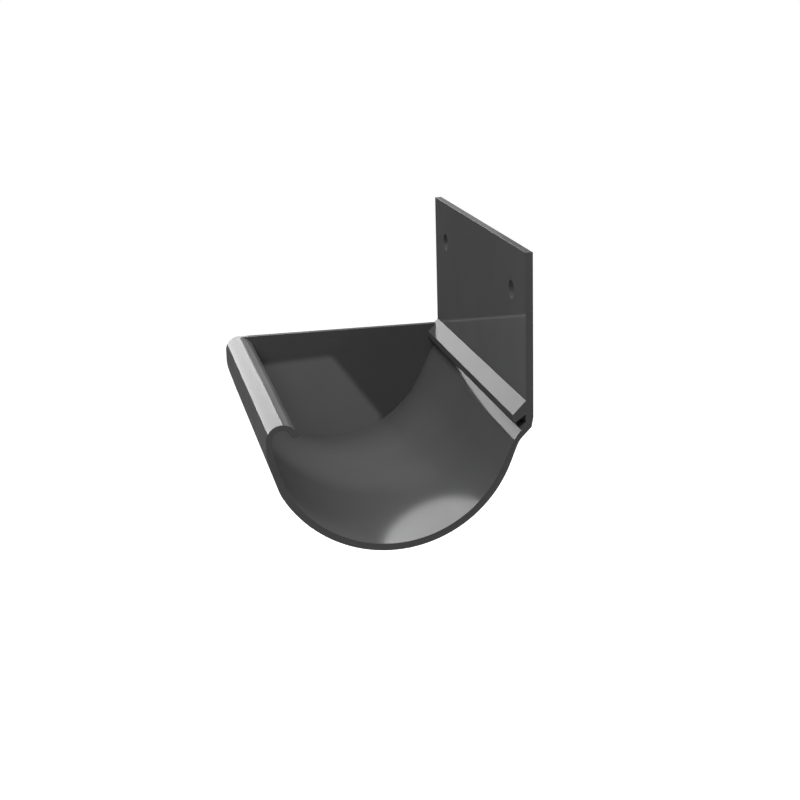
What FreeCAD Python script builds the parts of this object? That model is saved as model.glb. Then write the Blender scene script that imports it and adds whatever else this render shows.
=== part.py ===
import FreeCAD, Part
import math
import os
import types

import Sketcher

# A left-hand end cap for a half-round gutter, made in one piece with its fixing plate.
# Millimetres. +X points out of the open end, -Y to the front of the roof, +Z up.
# The origin is on the fascia face of the plate, midway between the two screw holes.

NODE = "gutter_end_cap"

# Driving sizes. A name that ends in _height is measured up from the centre line of the trough,
# insets and the fascia gap are measured from its outer circle, or from the fascia for the foot,
# and leans and slopes are in degrees.
SIZES = {
    # Trough and end wall
    "trough_radius": 50.0,
    "trough_wall": 2.8,
    "trough_length": 150.0,
    "end_wall": 3.0,
    # Fixing plate and its screw holes
    "fascia_gap": 5.7,
    "plate_thickness": 3.0,
    "plate_height": 64.0,
    "screw_drop": 18.0,
    "screw_spacing": 110.0,
    "screw_hole": 7.5,
    # Shoulder between the plate and the trough
    "foot_drop": 0.8,
    "foot_inset": 0.75,
    "foot_depth": 4.0,
    "ramp_lean": 45.0,
    "ramp_wall": 2.2,
    "outer_lean": 21.5,
    "inner_lean": 26.5,
    "outer_shoulder_bend": 10.0,
    "inner_shoulder_bend": 3.0,
    # Lip over the back edge of the trough, and the pocket under it
    "lip_height": 6.0,
    "lip_slope": 45.0,
    "lip_reach": 5.3,
    "lip_nose": 3.2,
    "lip_nose_flat": 1.0,
    "pocket_height": 0.5,
    "pocket_depth": 3.7,
    "pocket_floor_width": 1.9,
    "pocket_floor_drop": 1.6,
    # Front wall and the bead rolled inwards at its top
    "front_lean": 17.5,
    "front_inset": 0.73,
    "front_bend": 20.0,
    "front_edge_inset": 1.2,
    "bead_radius": 6.35,
    "bead_wall": 2.3,
    "bead_height": 4.4,
    "bead_tip_drop": 5.2,
    # Rounding of the plate's top, the lip's nose and the bead's tip
    "edge_round": 0.4,
}

# Lines of the section whose ends are rounded along the whole length
ROUNDED_LINES = ("plate_top", "nose_front", "bead_tip")

# How a sketch numbers the points of a piece, and its own two axes
START, END, CENTRE = range(1, 4)
UPRIGHT_AXIS, LEVEL_AXIS = range(-2, 0)
ORIGIN = (LEVEL_AXIS, START)
NEAR = 0.001


def vector(across, up):
    return FreeCAD.Vector(across, up, 0)


def heading(degrees):
    return vector(math.cos(math.radians(degrees)), math.sin(math.radians(degrees)))


def crossing(point, direction, other_point, other_direction):
    """The point where two straight lines of a section meet."""
    gap = other_point - point
    turn = direction.x * other_direction.y - direction.y * other_direction.x
    return point + direction * ((gap.x * other_direction.y - gap.y * other_direction.x) / turn)


def bend(corner, arriving, leaving, radius):
    """Centre, first point and last point of the arc that rounds the corner of two lines."""
    half_turn = arriving.getAngle(leaving) / 2
    setback = radius * math.tan(half_turn)
    inwards = (leaving - arriving).normalize()
    centre = corner + inwards * (radius / math.cos(half_turn))
    return centre, corner - arriving * setback, corner + leaving * setback


class Outline:
    """A closed chain of lines and arcs in a sketch, each piece known by its name."""

    def __init__(self, sketch):
        self.sketch = sketch
        self.pieces = []
        self.index = {}

    def add(self, name, geometry, first, last, smooth):
        index = self.sketch.addGeometry(geometry, False)
        self.index[name] = index
        self.pieces.append((index, first, last, smooth))

    def line(self, name, first, last, smooth=False):
        """A line that is kept pointing upwards, so that its angle is between 0 and 180."""
        upwards = (last.y, last.x) > (first.y, first.x)
        low, high = (first, last) if upwards else (last, first)
        ends = (START, END) if upwards else (END, START)
        self.add(name, Part.LineSegment(low, high), ends[0], ends[1], smooth)

    def arc(self, name, centre, first, last, clockwise, smooth=True):
        low, high = (last, first) if clockwise else (first, last)
        ends = (END, START) if clockwise else (START, END)
        angles = [math.atan2(point.y - centre.y, point.x - centre.x) for point in (low, high)]
        circle = Part.Circle(centre, FreeCAD.Vector(0, 0, 1), (first - centre).Length)
        self.add(name, Part.ArcOfCircle(circle, *angles), ends[0], ends[1], smooth)

    def close(self):
        """Join each piece to the one before it, without a corner where it is smooth."""
        before = self.pieces[-1]
        for piece in self.pieces:
            kind = "Tangent" if piece[3] else "Coincident"
            joint = Sketcher.Constraint(kind, before[0], before[2], piece[0], piece[1])
            self.sketch.addConstraint(joint)
            before = piece

    def places(self, where):
        return [self.index.get(place, place) for place in where]

    def rule(self, kind, *where):
        self.sketch.addConstraint(Sketcher.Constraint(kind, *self.places(where)))

    def size(self, name, expression, kind, *where):
        """A length, set by the sheet of sizes."""
        start = float(self.sketch.evalExpression(expression))
        self.dimension(name, expression, Sketcher.Constraint(kind, *self.places(where), start))

    def angle(self, line, expression):
        """How many degrees a line stands above the horizontal, set by the sheet of sizes."""
        start = math.radians(float(self.sketch.evalExpression(expression)))
        constraint = Sketcher.Constraint("Angle", self.index[line], start)
        self.dimension(line + "_angle", f"({expression}) * 1 deg", constraint)

    def dimension(self, name, expression, constraint):
        number = self.sketch.addConstraint(constraint)
        self.sketch.renameConstraint(number, name)
        self.sketch.setExpression("Constraints." + name, expression)


def below_screws(height):
    """A height above the trough's centre line, as a depth below the line of the screws."""
    return f"Sizes.plate_height - Sizes.screw_drop - ({height})"


def make_sheet(doc):
    sheet = doc.addObject("Spreadsheet::Sheet", "Sizes")
    for row, (alias, value) in enumerate(SIZES.items(), start=1):
        sheet.set(f"A{row}", alias)
        sheet.set(f"B{row}", str(value))
        sheet.setAlias(f"B{row}", alias)
    doc.recompute()
    return sheet


def new_sketch(body, name, plane):
    planes = {feature.Role: feature for feature in body.Origin.OriginFeatures}
    sketch = body.newObject("Sketcher::SketchObject", name)
    sketch.AttachmentSupport = [(planes[plane], "")]
    sketch.MapMode = "FlatFace"
    return sketch


def section_frame(s):
    """Centres and directions that both sides of the section share."""
    f = types.SimpleNamespace()
    f.trough = vector(-s.trough_radius - s.fascia_gap, s.screw_drop - s.plate_height)
    f.front_edge_foot = f.trough + vector(s.front_edge_inset - s.trough_radius, 0)
    f.bead = f.front_edge_foot + vector(s.bead_radius, s.bead_height - s.bead_radius)
    f.foot = vector(-s.foot_inset, f.trough.y - s.foot_drop - s.foot_depth)
    f.ramp_up = heading(90 - s.ramp_lean)
    f.ramp_inwards = heading(180 - s.ramp_lean)
    f.front_up = heading(90 + s.front_lean)
    f.front_outwards = heading(180 + s.front_lean)
    # The low front bend rounds the corner between the trough's circle and the leaning wall
    bend_to_trough = s.trough_radius - s.front_bend
    bend_to_front = bend_to_trough - s.front_inset
    slide = math.sqrt(bend_to_trough ** 2 - bend_to_front ** 2)
    f.low_bend = f.trough + f.front_outwards * bend_to_front - f.front_up * slide
    f.low_bend_heading = (f.low_bend - f.trough).normalize()
    return f


def draw_outer_side(outline, s, f, top_back, bead_end):
    """The side that faces out: down the fascia face, under the trough and up over the bead."""
    foot_top = vector(0, f.trough.y - s.foot_drop)
    lean_end = f.trough + heading(-s.outer_lean) * s.trough_radius
    lean_down = heading(270 - s.outer_lean)
    shoulder = crossing(f.foot, f.ramp_up, lean_end, lean_down)
    shoulder_arc = bend(shoulder, -f.ramp_up, lean_down, s.outer_shoulder_bend)
    trough_end = f.trough + f.low_bend_heading * s.trough_radius
    front_start = f.low_bend + f.front_outwards * s.front_bend
    corner = crossing(front_start, f.front_up, f.front_edge_foot, heading(90))
    high_arc = bend(corner, f.front_up, heading(90), s.front_bend)
    bead_start = f.bead - vector(s.bead_radius, 0)
    outline.line("back_face", top_back, foot_top)
    outline.line("back_foot", foot_top, f.foot)
    outline.line("ramp_outer", f.foot, shoulder_arc[1])
    outline.arc("shoulder_outer", *shoulder_arc, clockwise=False)
    outline.line("lean_outer", shoulder_arc[2], lean_end, smooth=True)
    outline.arc("trough_outer", f.trough, lean_end, trough_end, clockwise=True)
    outline.arc("low_bend_outer", f.low_bend, trough_end, front_start, clockwise=True)
    outline.line("front_outer", front_start, high_arc[1], smooth=True)
    outline.arc("high_bend_outer", *high_arc, clockwise=True)
    outline.line("front_edge", high_arc[2], bead_start, smooth=True)
    outline.arc("bead_outer", f.bead, bead_start, bead_end, clockwise=True)


def size_outer_side(outline):
    rule, size, angle = outline.rule, outline.size, outline.angle
    rule("Vertical", "back_face")
    rule("PointOnObject", "back_face", START, UPRIGHT_AXIS)
    size("foot_top", below_screws("-Sizes.foot_drop"), "DistanceY", "back_face", START, *ORIGIN)
    size("foot_inset", "Sizes.foot_inset", "DistanceX", "back_foot", START, *ORIGIN)
    size("foot_depth", "Sizes.foot_depth", "DistanceY", "back_foot", START, "back_foot", END)
    angle("ramp_outer", "90 - Sizes.ramp_lean")
    size("shoulder_outer", "Sizes.outer_shoulder_bend", "Radius", "shoulder_outer")
    angle("lean_outer", "90 - Sizes.outer_lean")
    size("trough_radius", "Sizes.trough_radius", "Radius", "trough_outer")
    size("trough_across", "Sizes.trough_radius + Sizes.fascia_gap",
         "DistanceX", "trough_outer", CENTRE, *ORIGIN)
    size("trough_down", below_screws("0"), "DistanceY", "trough_outer", CENTRE, *ORIGIN)
    size("low_bend", "Sizes.front_bend", "Radius", "low_bend_outer")
    angle("front_outer", "90 + Sizes.front_lean")
    size("front_inset", "Sizes.trough_radius - Sizes.front_inset",
         "Distance", "trough_outer", CENTRE, "front_outer")
    size("high_bend", "Sizes.front_bend", "Radius", "high_bend_outer")
    rule("Vertical", "front_edge")
    size("bead_radius", "Sizes.bead_radius", "Radius", "bead_outer")
    size("bead_across", "Sizes.trough_radius - Sizes.front_edge_inset - Sizes.bead_radius",
         "DistanceX", "bead_outer", CENTRE, "trough_outer", CENTRE)
    size("bead_down", below_screws("Sizes.bead_height - Sizes.bead_radius"),
         "DistanceY", "bead_outer", CENTRE, *ORIGIN)


def draw_inner_side(outline, s, f, bead_tip):
    """The side that faces the water: inside the bead, round the trough and up to the pocket."""
    bead_hollow = s.bead_radius - s.bead_wall
    hollow = s.trough_radius - s.trough_wall
    inner_bend = s.front_bend - s.trough_wall
    tip_up = s.bead_radius - s.bead_tip_drop
    inner_tip = f.bead + vector(math.sqrt(bead_hollow ** 2 - tip_up ** 2), tip_up)
    bead_end = f.bead - vector(bead_hollow, 0)
    front_end = f.low_bend + f.front_outwards * inner_bend
    corner = crossing(bead_end, heading(90), front_end, f.front_up)
    high_arc = bend(corner, heading(270), -f.front_up, inner_bend)
    trough_start = f.trough + f.low_bend_heading * hollow
    lean_start = f.trough + heading(-s.inner_lean) * hollow
    lean_up = heading(90 - s.inner_lean)
    ramp_point = f.foot + f.ramp_inwards * s.ramp_wall
    shoulder = crossing(lean_start, lean_up, ramp_point, f.ramp_up)
    shoulder_arc = bend(shoulder, lean_up, f.ramp_up, s.inner_shoulder_bend)
    step_across = vector(-s.plate_thickness - s.pocket_floor_width, 0)
    step_foot = crossing(ramp_point, f.ramp_up, step_across, heading(90))
    outline.line("bead_tip", bead_tip, inner_tip)
    outline.arc("bead_inner", f.bead, inner_tip, bead_end, clockwise=False, smooth=False)
    outline.line("front_edge_inner", bead_end, high_arc[1], smooth=True)
    outline.arc("high_bend_inner", *high_arc, clockwise=False)
    outline.line("front_inner", high_arc[2], front_end, smooth=True)
    outline.arc("low_bend_inner", f.low_bend, front_end, trough_start, clockwise=False)
    outline.arc("trough_inner", f.trough, trough_start, lean_start, clockwise=False)
    outline.line("lean_inner", lean_start, shoulder_arc[1], smooth=True)
    outline.arc("shoulder_inner", *shoulder_arc, clockwise=True)
    outline.line("ramp_inner", shoulder_arc[2], step_foot, smooth=True)
    return step_foot


def size_inner_side(outline):
    rule, size, angle = outline.rule, outline.size, outline.angle
    rule("Horizontal", "bead_tip")
    size("bead_tip", below_screws("Sizes.bead_height - Sizes.bead_tip_drop"),
         "DistanceY", "bead_tip", START, *ORIGIN)
    size("bead_hollow", "Sizes.bead_radius - Sizes.bead_wall", "Radius", "bead_inner")
    rule("Coincident", "bead_inner", CENTRE, "bead_outer", CENTRE)
    rule("Vertical", "front_edge_inner")
    size("high_bend_inner", "Sizes.front_bend - Sizes.trough_wall", "Radius", "high_bend_inner")
    angle("front_inner", "90 + Sizes.front_lean")
    size("front_hollow", "Sizes.trough_radius - Sizes.front_inset - Sizes.trough_wall",
         "Distance", "trough_outer", CENTRE, "front_inner")
    size("low_bend_inner", "Sizes.front_bend - Sizes.trough_wall", "Radius", "low_bend_inner")
    size("trough_hollow", "Sizes.trough_radius - Sizes.trough_wall", "Radius", "trough_inner")
    rule("Coincident", "trough_inner", CENTRE, "trough_outer", CENTRE)
    angle("lean_inner", "90 - Sizes.inner_lean")
    size("shoulder_inner", "Sizes.inner_shoulder_bend", "Radius", "shoulder_inner")
    angle("ramp_inner", "90 - Sizes.ramp_lean")
    size("ramp_wall", "Sizes.ramp_wall", "Distance", "ramp_outer", END, "ramp_inner")


def draw_lip(outline, s, f, step_foot, top_back):
    """The pocket, the lip over it and the front of the plate."""
    front = -s.plate_thickness
    nose = front - s.lip_reach
    pocket_top = f.trough.y + s.pocket_height
    floor_high = pocket_top - s.pocket_depth
    nose_top = f.trough.y + s.lip_height - s.lip_reach * math.tan(math.radians(s.lip_slope))
    nose_low = nose_top - s.lip_nose
    points = {
        "pocket_step": vector(step_foot.x, floor_high - s.pocket_floor_drop),
        "pocket_floor": vector(front, floor_high),
        "pocket_back": vector(front, pocket_top),
        "lip_underside": vector(nose + s.lip_nose_flat, nose_low),
        "nose_flat": vector(nose, nose_low),
        "nose_front": vector(nose, nose_top),
        "lip_top": vector(front, f.trough.y + s.lip_height),
        "plate_front": vector(front, top_back.y),
        "plate_top": top_back,
    }
    here = step_foot
    for name, point in points.items():
        outline.line(name, here, point)
        here = point


def size_lip(outline):
    rule, size, angle = outline.rule, outline.size, outline.angle
    rule("Vertical", "pocket_step")
    size("floor_width", "Sizes.pocket_floor_width",
         "DistanceX", "pocket_floor", START, "pocket_floor", END)
    size("floor_drop", "Sizes.pocket_floor_drop",
         "DistanceY", "pocket_floor", START, "pocket_floor", END)
    size("pocket_back", "Sizes.plate_thickness", "DistanceX", "pocket_back", START, *ORIGIN)
    rule("Vertical", "pocket_back")
    size("pocket_depth", "Sizes.pocket_depth",
         "DistanceY", "pocket_back", START, "pocket_back", END)
    size("pocket_top", below_screws("Sizes.pocket_height"),
         "DistanceY", "pocket_back", END, *ORIGIN)
    rule("Horizontal", "nose_flat")
    size("nose_flat", "Sizes.lip_nose_flat", "DistanceX", "nose_flat", START, "nose_flat", END)
    rule("Vertical", "nose_front")
    size("nose_height", "Sizes.lip_nose", "DistanceY", "nose_front", START, "nose_front", END)
    angle("lip_top", "Sizes.lip_slope")
    size("lip_reach", "Sizes.lip_reach", "DistanceX", "lip_top", START, "lip_top", END)
    size("lip_root", below_screws("Sizes.lip_height"), "DistanceY", "lip_top", END, *ORIGIN)
    rule("Vertical", "plate_front")
    size("plate_front", "Sizes.plate_thickness", "DistanceX", "plate_front", START, *ORIGIN)
    rule("Horizontal", "plate_top")
    size("plate_top", "Sizes.screw_drop", "DistanceY", *ORIGIN, "plate_top", END)


def make_profile(body, s):
    """The section that runs the whole length, from the bead round to the top of the plate."""
    sketch = new_sketch(body, "section", "YZ_Plane")
    outline = Outline(sketch)
    f = section_frame(s)
    tip_up = s.bead_radius - s.bead_tip_drop
    bead_tip = f.bead + vector(math.sqrt(s.bead_radius ** 2 - tip_up ** 2), tip_up)
    top_back = vector(0, s.screw_drop)
    draw_outer_side(outline, s, f, top_back, bead_tip)
    step_foot = draw_inner_side(outline, s, f, bead_tip)
    draw_lip(outline, s, f, step_foot, top_back)
    outline.close()
    size_outer_side(outline)
    size_inner_side(outline)
    size_lip(outline)
    profile = body.newObject("PartDesign::Pad", "profile")
    profile.Profile = sketch
    profile.SideType = "Symmetric"
    profile.setExpression("Length", "Sizes.trough_length")
    return outline


def make_end_wall(body, s):
    """The flat wall that closes the far end, level with the top of the bead."""
    sketch = new_sketch(body, "end_wall_outline", "YZ_Plane")
    sketch.setExpression("AttachmentOffset.Base.z", "-Sizes.trough_length / 2")
    outline = Outline(sketch)
    f = section_frame(s)
    crown = f.bead + vector(0, s.bead_radius)
    top_back = vector(0, crown.y)
    draw_outer_side(outline, s, f, top_back, crown)
    outline.line("wall_top", crown, top_back, smooth=True)
    outline.close()
    size_outer_side(outline)
    outline.rule("Horizontal", "wall_top")
    wall = body.newObject("PartDesign::Pad", "end_wall")
    wall.Profile = sketch
    wall.setExpression("Length", "Sizes.end_wall")
    return sketch


def make_screw_holes(body, s):
    """Two plain holes through the plate, on one level line."""
    sketch = new_sketch(body, "screw_hole_places", "XZ_Plane")
    outline = Outline(sketch)
    for side, name in ((-1, "hole_by_wall"), (1, "hole_by_mouth")):
        centre = vector(side * s.screw_spacing / 2, 0)
        circle = Part.Circle(centre, FreeCAD.Vector(0, 0, 1), s.screw_hole / 2)
        outline.index[name] = sketch.addGeometry(circle, False)
    outline.rule("Equal", "hole_by_wall", "hole_by_mouth")
    outline.rule("Symmetric", "hole_by_wall", CENTRE, "hole_by_mouth", CENTRE, *ORIGIN)
    outline.rule("PointOnObject", "hole_by_mouth", CENTRE, LEVEL_AXIS)
    outline.size("screw_hole", "Sizes.screw_hole", "Diameter", "hole_by_wall")
    outline.size("screw_spacing", "Sizes.screw_spacing",
                 "DistanceX", "hole_by_wall", CENTRE, "hole_by_mouth", CENTRE)
    holes = body.newObject("PartDesign::Pocket", "screw_holes")
    holes.Profile = sketch
    holes.Type = "ThroughAll"
    holes.Reversed = True
    return sketch


def round_long_edges(body, outline):
    """Round the lengthwise edges that run from both ends of the listed lines."""
    lines = [outline.index[name] for name in ROUNDED_LINES]
    corners = [outline.sketch.getPoint(line, end) for line in lines for end in (START, END)]
    holed_part = body.Tip
    names = []
    for number, edge in enumerate(holed_part.Shape.Edges, start=1):
        first, last = edge.firstVertex().Point, edge.lastVertex().Point
        here = vector(first.y, first.z)
        lengthwise = here.isEqual(vector(last.y, last.z), NEAR)
        if lengthwise and any(here.isEqual(corner, NEAR) for corner in corners):
            names.append(f"Edge{number}")
    if len(names) != len(corners):
        raise RuntimeError(f"{len(names)} edges to round, not {len(corners)}")
    rounding = body.newObject("PartDesign::Fillet", "edge_rounding")
    rounding.Base = (holed_part, names)
    rounding.setExpression("Radius", "Sizes.edge_round")


def make_end_cap(doc, s):
    body = doc.addObject("PartDesign::Body", NODE)
    body.Label = NODE
    profile = make_profile(body, s)
    sketches = [profile.sketch, make_end_wall(body, s)]
    doc.recompute()
    solid_volume = body.Shape.Volume
    sketches.append(make_screw_holes(body, s))
    doc.recompute()
    hole_volume = 2 * s.plate_thickness * math.pi * (s.screw_hole / 2) ** 2
    if abs(solid_volume - body.Shape.Volume - hole_volume) > NEAR * hole_volume:
        raise RuntimeError("the screw holes did not cut the plate")
    for sketch in sketches:
        if not sketch.FullyConstrained:
            raise RuntimeError(f"{sketch.Name} is not fully constrained")
    round_long_edges(body, profile)
    doc.recompute()
    return body


def check_and_write(doc, bodies):
    for part in doc.Objects:
        if "Invalid" in part.State or "Error" in part.State:
            raise RuntimeError(f"{part.Name} failed: {part.State}")
    for body in bodies:
        if body.Shape.isNull() or not body.Shape.isValid():
            raise RuntimeError(f"{body.Label} has no valid shape")
        body.Shape.exportStep(f"parts/{body.Label}.step")
        print(body.Label, f"{body.Shape.Volume:.0f} mm3", len(body.Shape.Solids), "solid")


os.makedirs("parts", exist_ok=True)
document = FreeCAD.newDocument("GutterEndCap")
size_sheet = make_sheet(document)
sizes = types.SimpleNamespace(**{alias: float(size_sheet.get(alias)) for alias in SIZES})
end_cap = make_end_cap(document, sizes)
check_and_write(document, [end_cap])
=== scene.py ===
import math

import bmesh
import bpy
from mathutils import Matrix, Vector


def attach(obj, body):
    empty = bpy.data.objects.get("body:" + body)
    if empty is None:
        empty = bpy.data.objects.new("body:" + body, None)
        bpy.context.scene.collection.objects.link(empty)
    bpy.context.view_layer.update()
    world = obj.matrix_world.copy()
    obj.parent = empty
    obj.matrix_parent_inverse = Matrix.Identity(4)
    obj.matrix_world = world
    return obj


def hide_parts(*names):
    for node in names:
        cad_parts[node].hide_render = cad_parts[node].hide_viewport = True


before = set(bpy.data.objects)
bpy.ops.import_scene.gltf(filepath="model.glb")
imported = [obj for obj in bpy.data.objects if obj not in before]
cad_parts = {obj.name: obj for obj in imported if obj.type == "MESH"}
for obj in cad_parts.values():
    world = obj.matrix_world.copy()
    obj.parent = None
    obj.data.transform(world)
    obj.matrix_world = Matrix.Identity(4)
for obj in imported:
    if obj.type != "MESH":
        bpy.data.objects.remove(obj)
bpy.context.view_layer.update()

# A coated metal end cap for a half-round gutter, dressed in metres in the frame of the CAD model.
# +X points out of the open end, -Y to the front, +Z up. The origin is on the fascia face of the
# plate, midway between the two screw holes. The section is drawn in millimetres across the
# trough, where x is the frame's Y and y its Z. All leans, slopes and other angles are in degrees.

MM = 0.001

# Sizes of the object in millimetres, the same as those of the CAD model
TROUGH_RADIUS = 50.0
TROUGH_WALL = 2.8
TROUGH_LENGTH = 150.0
END_WALL = 3.0
FASCIA_GAP = 5.7
PLATE_THICKNESS = 3.0
PLATE_HEIGHT = 64.0
SCREW_DROP = 18.0
SCREW_SPACING = 110.0
SCREW_HOLE = 7.5
FOOT_DROP = 0.8
FOOT_INSET = 0.75
FOOT_DEPTH = 4.0
RAMP_LEAN = 45.0
RAMP_WALL = 2.2
OUTER_LEAN = 21.5
OUTER_SHOULDER_BEND = 10.0
LIP_HEIGHT = 6.0
LIP_SLOPE = 45.0
LIP_REACH = 5.3
LIP_NOSE = 3.2
LIP_NOSE_FLAT = 1.0
POCKET_HEIGHT = 0.5
POCKET_DEPTH = 3.7
POCKET_FLOOR_WIDTH = 1.9
POCKET_FLOOR_DROP = 1.6
FRONT_LEAN = 17.5
FRONT_INSET = 0.73
FRONT_BEND = 20.0
FRONT_EDGE_INSET = 1.2
BEAD_RADIUS = 6.35
BEAD_WALL = 2.3
BEAD_HEIGHT = 4.4
BEAD_TIP_DROP = 5.2
EDGE_ROUND = 0.4

# The ends of the trough and the middle of its circle, which other places hang on
OPEN_END = TROUGH_LENGTH / 2
CLOSED_END = -TROUGH_LENGTH / 2
WALL_FACE = CLOSED_END + END_WALL
TROUGH_CENTRE = Vector((-TROUGH_RADIUS - FASCIA_GAP, SCREW_DROP - PLATE_HEIGHT))
LIP_ROOT = TROUGH_CENTRE.y + LIP_HEIGHT

# The ramp inside the trough is bowed a little, by up to 0.2 mm, as its highlight shows
RAMP_TOP_LEAN = 43.6
RAMP_END_LEAN = 32.5
RAMP_BOW = 24.0
INNER_LEAN = 26.2
INNER_SHOULDER_BEND = 3.0

# Fineness of the visible mesh: degrees along an arc, eased edges in millimetres, and the square
# of the plate's face round a screw hole
ARC_STEP = 3.0
BOW_STEP = 0.8
CORNER_EASE = 0.08
END_EASE = 0.06
EASE_STEPS = 4
HOLE_STEPS = 64
HOLE_SQUARE = 12.0
SHARPEST_MITRE = 0.5
SHARP_EDGE_TURN = 32

# The coating: its two tones, where its clouds turn from one to the other, and its roughness
DARK_TONE = (0.059, 0.059, 0.0595, 1)
LIGHT_TONE = (0.065, 0.065, 0.0655, 1)
CLOUD_RANGE = (0.3, 0.7)
ROUGHNESS_RANGE = (0.06, 0.13)

# The studio, in metres. The floor glows for the camera and for gloss, but doesn't light the part.
WHITE = (1, 1, 1, 1)
FLOOR_TONE = (0.7, 0.7, 0.7, 1)
FLOOR_GLOW = 0.8
FLOOR_SIZE = 12
FLOOR_HEIGHT = -0.7
WORLD_LIGHT = 0.2

# Soft panels that look at the middle of the part: name, azimuth, elevation, side, power
PART_MIDDLE = Vector((0, -0.055, -0.045))
PANEL_DISTANCE = 1.6
PANELS = (("top_panel", 90, 86, 1.4, 17),
          ("front_panel", 138, 48, 0.9, 20.5),
          ("back_panel", -90, 50, 0.9, 16),
          ("left_panel", 0, 60, 0.9, 9.3))

# Cards that show in the gloss: name, azimuths and elevations of their edges, radiance
CARD_DISTANCE = 2.0
BRIGHT_CARD = 35.2
DIM_CARD = 2.9
GLOSS_CARDS = (("bead_gloss", (12, 24), (-3, 1.5), BRIGHT_CARD),
               ("low_gloss", (-4, 24), (1.5, 14.5), BRIGHT_CARD),
               ("mid_gloss", (-7, 24), (14.5, 19), BRIGHT_CARD),
               ("high_gloss", (-16, 24), (19, 32), BRIGHT_CARD),
               ("dim_gloss", (-17, -4), (2, 14.5), DIM_CARD))

# Beams with straight edges, in metres and watts
BEAM_SPREAD = 14
BEAM_BLEND = 0.3
BEAM_SOURCE = 0.0005

# The patch on the end wall: its upper right corner as the camera sees it, the steps from there
# along its top and down its right side, and where its beam comes from
PATCH_CORNER = Vector((WALL_FACE * MM, -0.0553, -0.0538))
PATCH_TOP = Vector((0, -0.05, -0.0028))
PATCH_SIDE = Vector((0, 0.0296, -0.0409))
PATCH_BEAM = {"azimuth": -168, "elevation": 15, "distance": 0.6}
PATCH_POWER = 10.2
PATCH_SOFTNESS = 0.003

# An edge along the ramp at the open end, which keeps that beam off the cut face by the pocket
RAMP_GUARD = (Vector((OPEN_END * MM, -0.0152, -0.06)), Vector((OPEN_END * MM, -0.0098, -0.045)))

# The line on the plate in which it mirrors the top of the end wall, and the beams for it and for
# the plate below it
LINE_FAR_HEIGHT = -0.0416
LINE_NEAR_HEIGHT = -0.0066
LINE_WIDTH = 0.0009
LINE_POWER = 22.6
LINE_SOFTNESS = 0.0003
PLATE_GLOW_POWER = 11.8
PLATE_GLOW_SOFTNESS = 0.0005
PLATE_AIM = Vector((0, -PLATE_THICKNESS * MM, -0.025))
PLATE_BEAM = {"azimuth": 90, "elevation": 20, "distance": 0.8}

# The photograph's viewpoint, found from the edges of the part
CAMERA_PLACE = Vector((0.63123, -0.165, 0.12586))
CAMERA_AZIMUTH = 78.582
CAMERA_ELEVATION = 15.872
CAMERA_ROLL = 1.58
CAMERA_LENS = 69.907
CAMERA_SENSOR = 36
CAMERA_REACH = 100


def plane_heading(degrees):
    """The direction in the plane of the section, from 0 towards the fascia to 90 straight up."""
    return Vector((math.cos(math.radians(degrees)), math.sin(math.radians(degrees))))


def crossing(point, direction, other_point, other_direction):
    """The point where two straight lines of the section meet."""
    gap = other_point - point
    turn = direction.x * other_direction.y - direction.y * other_direction.x
    return point + direction * ((gap.x * other_direction.y - gap.y * other_direction.x) / turn)


def arc(centre, first, last, clockwise, step=ARC_STEP):
    """Points along an arc, with both its ends."""
    start = math.atan2(first.y - centre.y, first.x - centre.x)
    sweep = math.atan2(last.y - centre.y, last.x - centre.x) - start
    sweep = -(-sweep % math.tau) if clockwise else sweep % math.tau
    steps = max(2, round(abs(math.degrees(sweep)) / step))
    radius = (first - centre).length
    angles = [start + sweep * i / steps for i in range(steps + 1)]
    return [centre + Vector((math.cos(a), math.sin(a))) * radius for a in angles]


def bend(corner, arriving, leaving, radius, clockwise):
    """Points along the arc that rounds the corner of two lines."""
    half_turn = arriving.angle(leaving) / 2
    setback = radius * math.tan(half_turn)
    inwards = (leaving - arriving).normalized()
    centre = corner + inwards * (radius / math.cos(half_turn))
    return arc(centre, corner - arriving * setback, corner + leaving * setback, clockwise)


class Section:
    """Closed outline of the section, with corners that are rounded once it is complete."""

    def __init__(self):
        self.points = []
        self.corners = []

    def corner(self, point, radius=CORNER_EASE):
        """Add a corner, and note the radius that it gets."""
        self.corners.append((len(self.points), radius))
        self.points.append(point)

    def plain(self, point):
        """Add a point that stays as it is."""
        self.points.append(point)

    def run(self, points):
        """Add the points of a curve."""
        self.points.extend(points)

    def walk(self, index, step, distance):
        """The place a distance along the outline from a corner, and how many points that passes."""
        count = len(self.points)
        here, passed = self.points[index], 0
        while True:
            ahead = self.points[(index + step * (passed + 1)) % count]
            length = (ahead - here).length
            if length >= distance:
                return here + (ahead - here) * (distance / length), passed
            distance -= length
            here = ahead
            passed += 1

    def rounded(self):
        """The outline with each noted corner replaced by a short arc."""
        count = len(self.points)
        curves, dropped = {}, set()
        for index, radius in self.corners:
            corner = self.points[index]
            before = (corner - self.points[index - 1]).normalized()
            after = (self.points[(index + 1) % count] - corner).normalized()
            half_turn = before.angle(after) / 2
            setback = radius * math.tan(half_turn)
            first, passed_back = self.walk(index, -1, setback)
            last, passed_on = self.walk(index, 1, setback)
            dropped.update((index - i) % count for i in range(1, passed_back + 1))
            dropped.update((index + i) % count for i in range(1, passed_on + 1))
            steps = [i / EASE_STEPS for i in range(EASE_STEPS + 1)]
            pulls = [((1 - t) ** 2, 2 * t * (1 - t) * math.cos(half_turn), t ** 2) for t in steps]
            curves[index] = [(first * a + corner * b + last * c) / (a + b + c)
                             for a, b, c in pulls]
        outline = []
        for index, point in enumerate(self.points):
            if index in curves:
                outline.extend(curves[index])
            elif index not in dropped:
                outline.append(point)
        return outline


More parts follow.
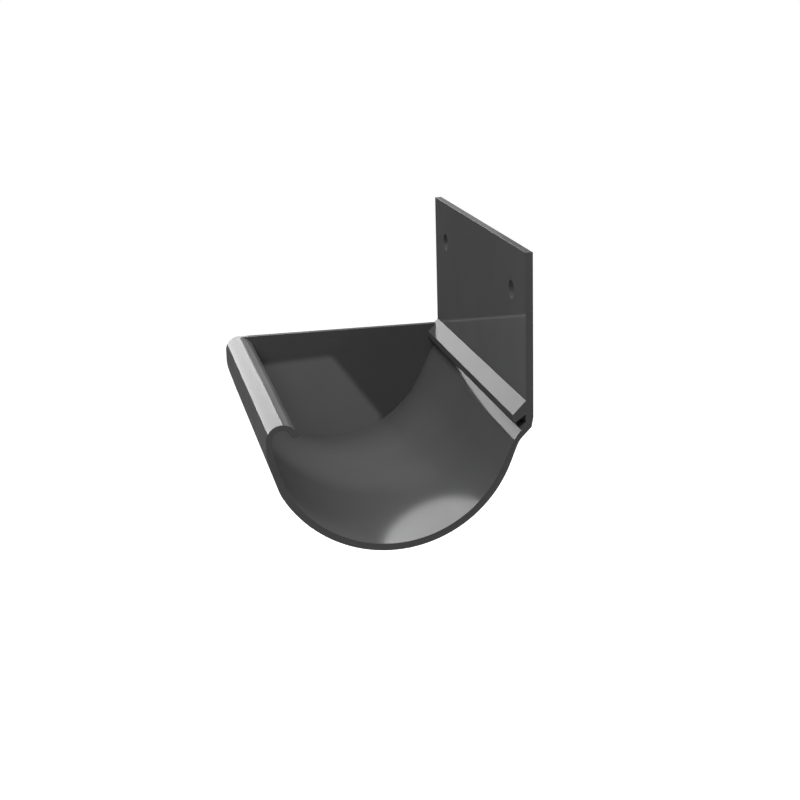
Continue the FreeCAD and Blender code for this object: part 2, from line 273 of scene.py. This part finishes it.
def draw_section():
    """The outline from the crown of the bead round the outside, over the plate, and back inside.

    It comes with the place where the lip meets the level top of the end wall. That top runs from
    there to the crown.
    """
    edge_foot = TROUGH_CENTRE + Vector((FRONT_EDGE_INSET - TROUGH_RADIUS, 0))
    bead = edge_foot + Vector((BEAD_RADIUS, BEAD_HEIGHT - BEAD_RADIUS))
    foot = Vector((-FOOT_INSET, TROUGH_CENTRE.y - FOOT_DROP - FOOT_DEPTH))
    ramp_up = plane_heading(90 - RAMP_LEAN)
    front_up = plane_heading(90 + FRONT_LEAN)
    front_out = plane_heading(180 + FRONT_LEAN)
    hollow = TROUGH_RADIUS - TROUGH_WALL
    inner_bend = FRONT_BEND - TROUGH_WALL
    bead_hollow = BEAD_RADIUS - BEAD_WALL
    crown = bead + Vector((0, BEAD_RADIUS))

    # The low front bend rounds the corner between the trough's circle and the leaning wall
    bend_to_trough = TROUGH_RADIUS - FRONT_BEND
    bend_to_front = bend_to_trough - FRONT_INSET
    slide = math.sqrt(bend_to_trough ** 2 - bend_to_front ** 2)
    low_bend = TROUGH_CENTRE + front_out * bend_to_front - front_up * slide
    bend_heading = (low_bend - TROUGH_CENTRE).normalized()
    outer_meeting = TROUGH_CENTRE + bend_heading * TROUGH_RADIUS
    inner_meeting = TROUGH_CENTRE + bend_heading * hollow

    section = Section()

    # Outside, from the crown of the bead down the front, under the trough and up the back
    section.plain(crown)
    section.run(arc(bead, crown, bead - Vector((BEAD_RADIUS, 0)), False)[1:])
    front_start = low_bend + front_out * FRONT_BEND
    corner = crossing(front_start, front_up, edge_foot, plane_heading(90))
    section.run(bend(corner, plane_heading(270), -front_up, FRONT_BEND, False))
    section.run(arc(low_bend, front_start, outer_meeting, False))
    lean_end = TROUGH_CENTRE + plane_heading(-OUTER_LEAN) * TROUGH_RADIUS
    lean_up = plane_heading(90 - OUTER_LEAN)
    section.run(arc(TROUGH_CENTRE, outer_meeting, lean_end, False)[1:])
    shoulder = crossing(foot, ramp_up, lean_end, lean_up)
    section.run(bend(shoulder, lean_up, ramp_up, OUTER_SHOULDER_BEND, True))
    section.corner(foot)
    section.corner(Vector((0, TROUGH_CENTRE.y - FOOT_DROP)))
    section.plain(Vector((0, -HOLE_SQUARE / 2)))
    section.plain(Vector((0, HOLE_SQUARE / 2)))
    section.corner(Vector((0, SCREW_DROP)))

    # Down the front of the plate and over the lip
    plate_front = -PLATE_THICKNESS
    nose = plate_front - LIP_REACH
    slope = math.tan(math.radians(LIP_SLOPE))
    nose_top = LIP_ROOT - LIP_REACH * slope
    wall_meets_lip = Vector((plate_front - (LIP_ROOT - crown.y) / slope, crown.y))
    section.corner(Vector((plate_front, SCREW_DROP)))
    section.plain(Vector((plate_front, HOLE_SQUARE / 2)))
    section.plain(Vector((plate_front, -HOLE_SQUARE / 2)))
    section.corner(Vector((plate_front, LIP_ROOT)))
    section.plain(wall_meets_lip)
    section.corner(Vector((nose, nose_top)), EDGE_ROUND)
    section.corner(Vector((nose, nose_top - LIP_NOSE)), EDGE_ROUND)
    section.corner(Vector((nose + LIP_NOSE_FLAT, nose_top - LIP_NOSE)))

    # The pocket and its ramp
    pocket_top = TROUGH_CENTRE.y + POCKET_HEIGHT
    floor_high = pocket_top - POCKET_DEPTH
    floor_end = plate_front - POCKET_FLOOR_WIDTH
    ramp_point = foot + plane_heading(180 - RAMP_LEAN) * RAMP_WALL
    section.corner(Vector((plate_front, pocket_top)))
    section.corner(Vector((plate_front, floor_high)))
    section.corner(Vector((floor_end, floor_high - POCKET_FLOOR_DROP)))
    ramp_top = crossing(ramp_point, ramp_up, Vector((floor_end, 0)), plane_heading(90))
    bow_centre = ramp_top - plane_heading(180 - RAMP_TOP_LEAN) * RAMP_BOW
    ramp_end = bow_centre + plane_heading(180 - RAMP_END_LEAN) * RAMP_BOW
    section.corner(ramp_top)
    section.run(arc(bow_centre, ramp_top, ramp_end, False, BOW_STEP)[1:-1])
    section.corner(ramp_end, INNER_SHOULDER_BEND)

    # Inside, round the trough and up into the hollow of the bead
    lean_start = TROUGH_CENTRE + plane_heading(-INNER_LEAN) * hollow
    section.run(arc(TROUGH_CENTRE, lean_start, inner_meeting, True))
    front_end = low_bend + front_out * inner_bend
    section.run(arc(low_bend, inner_meeting, front_end, True)[1:])
    bead_end = bead - Vector((bead_hollow, 0))
    corner = crossing(bead_end, plane_heading(90), front_end, front_up)
    section.run(bend(corner, front_up, plane_heading(90), inner_bend, True))
    tip_up = BEAD_RADIUS - BEAD_TIP_DROP
    inner_tip = bead + Vector((math.sqrt(bead_hollow ** 2 - tip_up ** 2), tip_up))
    outer_tip = bead + Vector((math.sqrt(BEAD_RADIUS ** 2 - tip_up ** 2), tip_up))
    section.run(arc(bead, bead_end, inner_tip, True)[:-1])
    section.corner(inner_tip, EDGE_ROUND)
    section.corner(outer_tip, EDGE_ROUND)
    section.run(arc(bead, outer_tip, crown, False)[1:-1])
    return section.rounded(), wall_meets_lip


def nearest(points, place):
    """The number of the point that is closest to a place."""
    return min(range(len(points)), key=lambda i: (points[i] - place).length)


def inset(points, distance):
    """The closed outline moved towards its inside, which is on the left of its points."""
    count = len(points)
    moved = []
    for index, point in enumerate(points):
        before = (point - points[index - 1]).normalized()
        after = (points[(index + 1) % count] - point).normalized()
        left = Vector((-before.y - after.y, before.x + after.x)).normalized()
        mitre = max(left.dot(Vector((-after.y, after.x))), SHARPEST_MITRE)
        moved.append(point + left * (distance / mitre))
    return moved


def rim_steps():
    """The two offsets at each step round an eased rim, of which one grows and one shrinks."""
    turns = [math.radians(90 * step / EASE_STEPS) for step in range(1, EASE_STEPS + 1)]
    return [(END_EASE * (1 - math.cos(turn)), END_EASE * (1 - math.sin(turn))) for turn in turns]


def add_ring(mesh, x, points):
    """The outline as mesh points at one place along the trough."""
    return [mesh.verts.new((x * MM, point.x * MM, point.y * MM)) for point in points]


def join_rings(mesh, ring, other, closed=True, skip=()):
    """Faces between two rings of points, apart from those after the skipped points."""
    count = len(ring)
    for index in range(count if closed else count - 1):
        if index not in skip:
            ahead = (index + 1) % count
            mesh.faces.new((ring[index], ring[ahead], other[ahead], other[index]))


def ease_end(mesh, ring, points, x, outwards):
    """Close an open end with a flat face whose rim is slightly rounded."""
    for grows, shrinks in rim_steps():
        next_ring = add_ring(mesh, x - outwards * shrinks, inset(points, grows))
        join_rings(mesh, ring, next_ring)
        ring = next_ring
    mesh.faces.new(ring)


def cut_hole(mesh, squares, centre_x, faces):
    """A screw hole between the two faces of the plate, with its rims slightly rounded.

    squares holds the four mesh corners of a square round the hole on each face, and faces the
    places of the two faces and the way each one looks.
    """
    angles = [math.tau * i / HOLE_STEPS for i in range(HOLE_STEPS)]

    def circle(radius, y):
        return [mesh.verts.new(((centre_x + radius * math.cos(a)) * MM, y * MM,
                                radius * math.sin(a) * MM)) for a in angles]

    radius = SCREW_HOLE / 2
    inner_rings = []
    for square, (face_y, outwards) in zip(squares, faces):
        ring = circle(radius + END_EASE, face_y)
        join_square(mesh, square, ring)
        for grows, shrinks in rim_steps():
            deeper = circle(radius + shrinks, face_y - outwards * grows)
            join_rings(mesh, ring, deeper)
            ring = deeper
        inner_rings.append(ring)
    join_rings(mesh, *inner_rings)


def join_square(mesh, square, ring):
    """Flat faces between a ring and the square round it, whose corners start at 45 degrees."""
    quarter = HOLE_STEPS // 4
    start = quarter // 2
    for side in range(4):
        first = start + side * quarter
        along = [ring[(first + i) % HOLE_STEPS] for i in range(quarter + 1)]
        mesh.faces.new([square[(side + 1) % 4], square[side], *along])


def make_end_cap_mesh():
    """The whole part as one closed mesh."""
    points, wall_meets_lip = draw_section()
    lip_index = nearest(points, wall_meets_lip)
    hole_lines = [side * SCREW_SPACING / 2 + edge * HOLE_SQUARE / 2
                  for side in (-1, 1) for edge in (-1, 1)]
    mesh = bmesh.new()

    # Rings along the trough, from the inner face of the end wall to the open end. The second and
    # the fourth stretch between them each hold a screw hole. back and front number the outline's
    # points below and above the holes, on the two faces of the plate.
    stations = [WALL_FACE, *hole_lines, OPEN_END - END_EASE]
    rings = [add_ring(mesh, x, points) for x in stations]
    back, front = [[nearest(points, Vector((y, side * HOLE_SQUARE / 2))) for side in (-1, 1)]
                   for y in (0, -PLATE_THICKNESS)]
    for number, (ring, other) in enumerate(zip(rings, rings[1:])):
        holed = number in (1, 3)
        join_rings(mesh, ring, other, skip=(back[0], front[1]) if holed else ())
        if holed:
            squares = [[other[high], ring[high], ring[low], other[low]]
                       for low, high in (back, front)]
            centre_x = (stations[number] + stations[number + 1]) / 2
            cut_hole(mesh, squares, centre_x, ((0, 1), (-PLATE_THICKNESS, -1)))
    ease_end(mesh, rings[-1], points, OPEN_END, 1)

    # The end wall: the outside of the section carried on, closed by a level top
    wall_outline = points[:lip_index + 1]
    outer_ring = add_ring(mesh, CLOSED_END + END_EASE, wall_outline)
    join_rings(mesh, outer_ring, rings[0][:lip_index + 1], closed=False)
    mesh.faces.new((outer_ring[-1], rings[0][lip_index], rings[0][0], outer_ring[0]))
    mesh.faces.new([*rings[0][lip_index:], rings[0][0]])
    ease_end(mesh, outer_ring, wall_outline, CLOSED_END, -1)
    bmesh.ops.recalc_face_normals(mesh, faces=mesh.faces)
    return mesh


def make_end_cap(material):
    """The part, with smooth curves and flat faces that stay flat."""
    mesh = make_end_cap_mesh()
    for edge in mesh.edges:
        edge.smooth = edge.calc_face_angle(0) < math.radians(SHARP_EDGE_TURN)
    for face in mesh.faces:
        face.smooth = True
    data = bpy.data.meshes.new("end_cap")
    mesh.to_mesh(data)
    mesh.free()
    data.materials.append(material)
    piece = bpy.data.objects.new("end_cap", data)
    bpy.context.scene.collection.objects.link(piece)
    shading = piece.modifiers.new("flat_faces_stay_flat", "WEIGHTED_NORMAL")
    shading.mode = "FACE_AREA"
    shading.weight = 100
    shading.keep_sharp = True
    return piece


def node(tree, kind, **values):
    """A new node, with its sockets and settings filled in by name."""
    made = tree.nodes.new(kind)
    for name, value in values.items():
        if name in made.inputs:
            made.inputs[name].default_value = value
        else:
            setattr(made, name, value)
    return made


def combine(tree, operation, sockets):
    """The clamped sum or product of several values."""
    total = sockets[0]
    for socket in sockets[1:]:
        step = node(tree, "ShaderNodeMath", operation=operation, use_clamp=True)
        tree.links.new(total, step.inputs[0])
        tree.links.new(socket, step.inputs[1])
        total = step.outputs[0]
    return total


def seen_or_mirrored(tree):
    """1 for rays from the camera, from gloss and through glass, and 0 for those that light."""
    path = node(tree, "ShaderNodeLightPath")
    kinds = ("Is Camera Ray", "Is Glossy Ray", "Is Transmission Ray")
    return combine(tree, "ADD", [path.outputs[kind] for kind in kinds])


def make_coating():
    """Smooth dark grey coating on metal, with a faint ripple and uneven gloss."""
    material = bpy.data.materials.new("coated_metal")
    material.use_nodes = True
    tree = material.node_tree
    link = tree.links.new
    shader = tree.nodes["Principled BSDF"]

    # Only a faint metallic share mirrors, because a full gloss would show the white studio all over
    shader.inputs["Metallic"].default_value = 0.05
    shader.inputs["Specular IOR Level"].default_value = 0.0
    place = node(tree, "ShaderNodeTexCoord").outputs["Object"]

    clouds = node(tree, "ShaderNodeTexNoise", Scale=22.0, Detail=3.0, Roughness=0.55)
    link(place, clouds.inputs["Vector"])
    tone = node(tree, "ShaderNodeValToRGB")
    for stop, position, colour in zip(tone.color_ramp.elements, CLOUD_RANGE,
                                      (DARK_TONE, LIGHT_TONE)):
        stop.position = position
        stop.color = colour
    link(clouds.outputs["Fac"], tone.inputs["Fac"])
    link(tone.outputs["Color"], shader.inputs["Base Color"])

    grain = node(tree, "ShaderNodeTexNoise", Scale=900.0, Detail=2.0, Roughness=0.6)
    link(place, grain.inputs["Vector"])
    gloss = node(tree, "ShaderNodeMapRange")
    gloss.inputs["To Min"].default_value, gloss.inputs["To Max"].default_value = ROUGHNESS_RANGE
    link(grain.outputs["Fac"], gloss.inputs["Value"])
    link(gloss.outputs["Result"], shader.inputs["Roughness"])

    ripple = node(tree, "ShaderNodeTexNoise", Scale=260.0, Detail=1.5, Roughness=0.4)
    link(place, ripple.inputs["Vector"])
    bump = node(tree, "ShaderNodeBump", Strength=0.045, Distance=0.00005)
    link(ripple.outputs["Fac"], bump.inputs["Height"])
    link(bump.outputs["Normal"], shader.inputs["Normal"])
    return material


def make_floor():
    """A plain pale floor well below the part, which hangs on its fixings."""
    bpy.ops.mesh.primitive_plane_add(size=FLOOR_SIZE, location=(0, 0, FLOOR_HEIGHT))
    floor = bpy.context.object
    floor.name = "floor"
    material = bpy.data.materials.new("pale_floor")
    material.use_nodes = True
    tree = material.node_tree
    shader = tree.nodes["Principled BSDF"]
    shader.inputs["Base Color"].default_value = FLOOR_TONE
    shader.inputs["Roughness"].default_value = 0.9
    shader.inputs["Emission Color"].default_value = WHITE
    glow = node(tree, "ShaderNodeMath", operation="MULTIPLY")
    tree.links.new(seen_or_mirrored(tree), glow.inputs[0])
    glow.inputs[1].default_value = FLOOR_GLOW
    tree.links.new(glow.outputs[0], shader.inputs["Emission Strength"])
    floor.data.materials.append(material)


def make_world():
    """A weak even light. The camera and the gloss see plain white instead."""
    world = bpy.data.worlds.new("studio")
    bpy.context.scene.world = world
    world.use_nodes = True
    tree = world.node_tree
    light = tree.nodes["Background"]
    light.inputs["Color"].default_value = WHITE
    light.inputs["Strength"].default_value = WORLD_LIGHT
    backdrop = node(tree, "ShaderNodeBackground", Color=WHITE, Strength=1.0)
    mix = node(tree, "ShaderNodeMixShader")
    tree.links.new(seen_or_mirrored(tree), mix.inputs["Fac"])
    tree.links.new(light.outputs[0], mix.inputs[1])
    tree.links.new(backdrop.outputs[0], mix.inputs[2])
    tree.links.new(mix.outputs[0], tree.nodes["World Output"].inputs["Surface"])


def place_lamp(name, lamp, azimuth, elevation, distance, target):
    """Aim a lamp. Azimuth 0 is behind the end wall, 90 in front and 180 off the open end."""
    placed = bpy.data.objects.new(name, lamp)
    bpy.context.scene.collection.objects.link(placed)
    turn, rise = math.radians(azimuth), math.radians(elevation)
    away = Vector((-math.cos(turn) * math.cos(rise), -math.sin(turn) * math.cos(rise),
                   math.sin(rise)))
    placed.location = target + away * distance
    placed.rotation_euler = away.to_track_quat("Z", "Y").to_euler()
    placed.visible_camera = False
    return placed


def make_panel(name, azimuth, elevation, distance, width, height, power):
    """A soft lamp that looks at the part."""
    lamp = bpy.data.lights.new(name, "AREA")
    lamp.shape = "RECTANGLE"
    lamp.size = width
    lamp.size_y = height
    lamp.energy = power
    return place_lamp(name, lamp, azimuth, elevation, distance, PART_MIDDLE)


def make_gloss_card(name, azimuths, elevations, radiance):
    """A bright card that shows in the gloss of the coating, and doesn't light the part."""
    azimuth, elevation = sum(azimuths) / 2, sum(elevations) / 2
    width, height = (2 * CARD_DISTANCE * math.tan(math.radians(last - first) / 2)
                     for first, last in (azimuths, elevations))
    power = radiance * math.pi * width * height
    card = make_panel(name, azimuth, elevation, CARD_DISTANCE, width, height, power)
    card.visible_diffuse = False


def make_beam(name, power, aim, source, edges, softness):
    """A weak spot of light. It falls on the left of each straight edge, seen from the lamp."""
    lamp = bpy.data.lights.new(name, "SPOT")
    lamp.energy = power
    lamp.spot_size = math.radians(BEAM_SPREAD)
    lamp.spot_blend = BEAM_BLEND
    lamp.shadow_soft_size = BEAM_SOURCE
    lamp.use_nodes = True
    tree = lamp.node_tree
    beam = place_lamp(name, lamp, target=aim, **source)
    beam.visible_glossy = False
    to_lamp = beam.rotation_euler.to_matrix().transposed()
    ray = node(tree, "ShaderNodeTexCoord").outputs["Normal"]
    shares = []
    for start, end in edges:
        side = (end - beam.location).cross(start - beam.location).normalized()
        across = node(tree, "ShaderNodeVectorMath", operation="DOT_PRODUCT")
        across.inputs[1].default_value = to_lamp @ side
        tree.links.new(ray, across.inputs[0])
        edge = node(tree, "ShaderNodeMapRange", interpolation_type="SMOOTHSTEP")
        edge.inputs["From Min"].default_value = -softness
        edge.inputs["From Max"].default_value = softness
        tree.links.new(across.outputs["Value"], edge.inputs["Value"])
        shares.append(edge.outputs["Result"])
    tree.links.new(combine(tree, "MULTIPLY", shares), tree.nodes["Emission"].inputs["Strength"])


def make_wall_patch():
    """The patch on the end wall, with a level top and a leaning right side."""
    top = (PATCH_CORNER, PATCH_CORNER + PATCH_TOP)
    side = (PATCH_CORNER + PATCH_SIDE, PATCH_CORNER)
    make_beam("wall_glow", PATCH_POWER, PATCH_CORNER, PATCH_BEAM, (top, side, RAMP_GUARD),
              PATCH_SOFTNESS)


def make_plate_glow():
    """The lower part of the plate, up to the line in which it mirrors the top of the end wall."""
    face = -PLATE_THICKNESS * MM
    far = Vector((WALL_FACE * MM, face, LINE_FAR_HEIGHT))
    near = Vector((OPEN_END * MM, face, LINE_NEAR_HEIGHT))
    above = Vector((0, 0, LINE_WIDTH))
    lip_line = tuple(Vector((place.x, face, LIP_ROOT * MM)) for place in (far, near))
    make_beam("plate_glow", PLATE_GLOW_POWER, PLATE_AIM, PLATE_BEAM, ((near, far), lip_line),
              PLATE_GLOW_SOFTNESS)
    make_beam("plate_line", LINE_POWER, PLATE_AIM, PLATE_BEAM,
              ((far, near), (near + above, far + above), lip_line), LINE_SOFTNESS)


def make_lights():
    """All lamps: cards for the gloss, soft panels, and the beams on the end wall and plate."""
    for name, azimuths, elevations, radiance in GLOSS_CARDS:
        make_gloss_card(name, azimuths, elevations, radiance)
    for name, azimuth, elevation, side, power in PANELS:
        make_panel(name, azimuth, elevation, PANEL_DISTANCE, side, side, power)
    make_wall_patch()
    make_plate_glow()


def make_camera():
    """The camera at the photograph's viewpoint."""
    azimuth, elevation, roll = (math.radians(a) for a in
                                (CAMERA_AZIMUTH, CAMERA_ELEVATION, CAMERA_ROLL))
    back = Vector((math.sin(azimuth) * math.cos(elevation),
                   -math.cos(azimuth) * math.cos(elevation), math.sin(elevation)))
    right = (-back).cross(Vector((0, 0, 1))).normalized()
    down = (-back).cross(right)
    rolled_right = right * math.cos(roll) + down * math.sin(roll)
    rolled_up = right * math.sin(roll) - down * math.cos(roll)
    lens = bpy.data.cameras.new("photo_view")
    lens.lens = CAMERA_LENS
    lens.sensor_width = CAMERA_SENSOR
    lens.clip_end = CAMERA_REACH
    camera = bpy.data.objects.new("photo_view", lens)
    bpy.context.scene.collection.objects.link(camera)
    turned = Matrix((rolled_right, rolled_up, back)).transposed().to_4x4()
    camera.matrix_world = Matrix.Translation(CAMERA_PLACE) @ turned
    bpy.context.scene.camera = camera


bpy.context.scene.view_settings.view_transform = "Standard"
make_camera()
make_world()
make_floor()
make_lights()

end_cap = make_end_cap(make_coating())
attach(end_cap, "root")
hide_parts("gutter_end_cap")
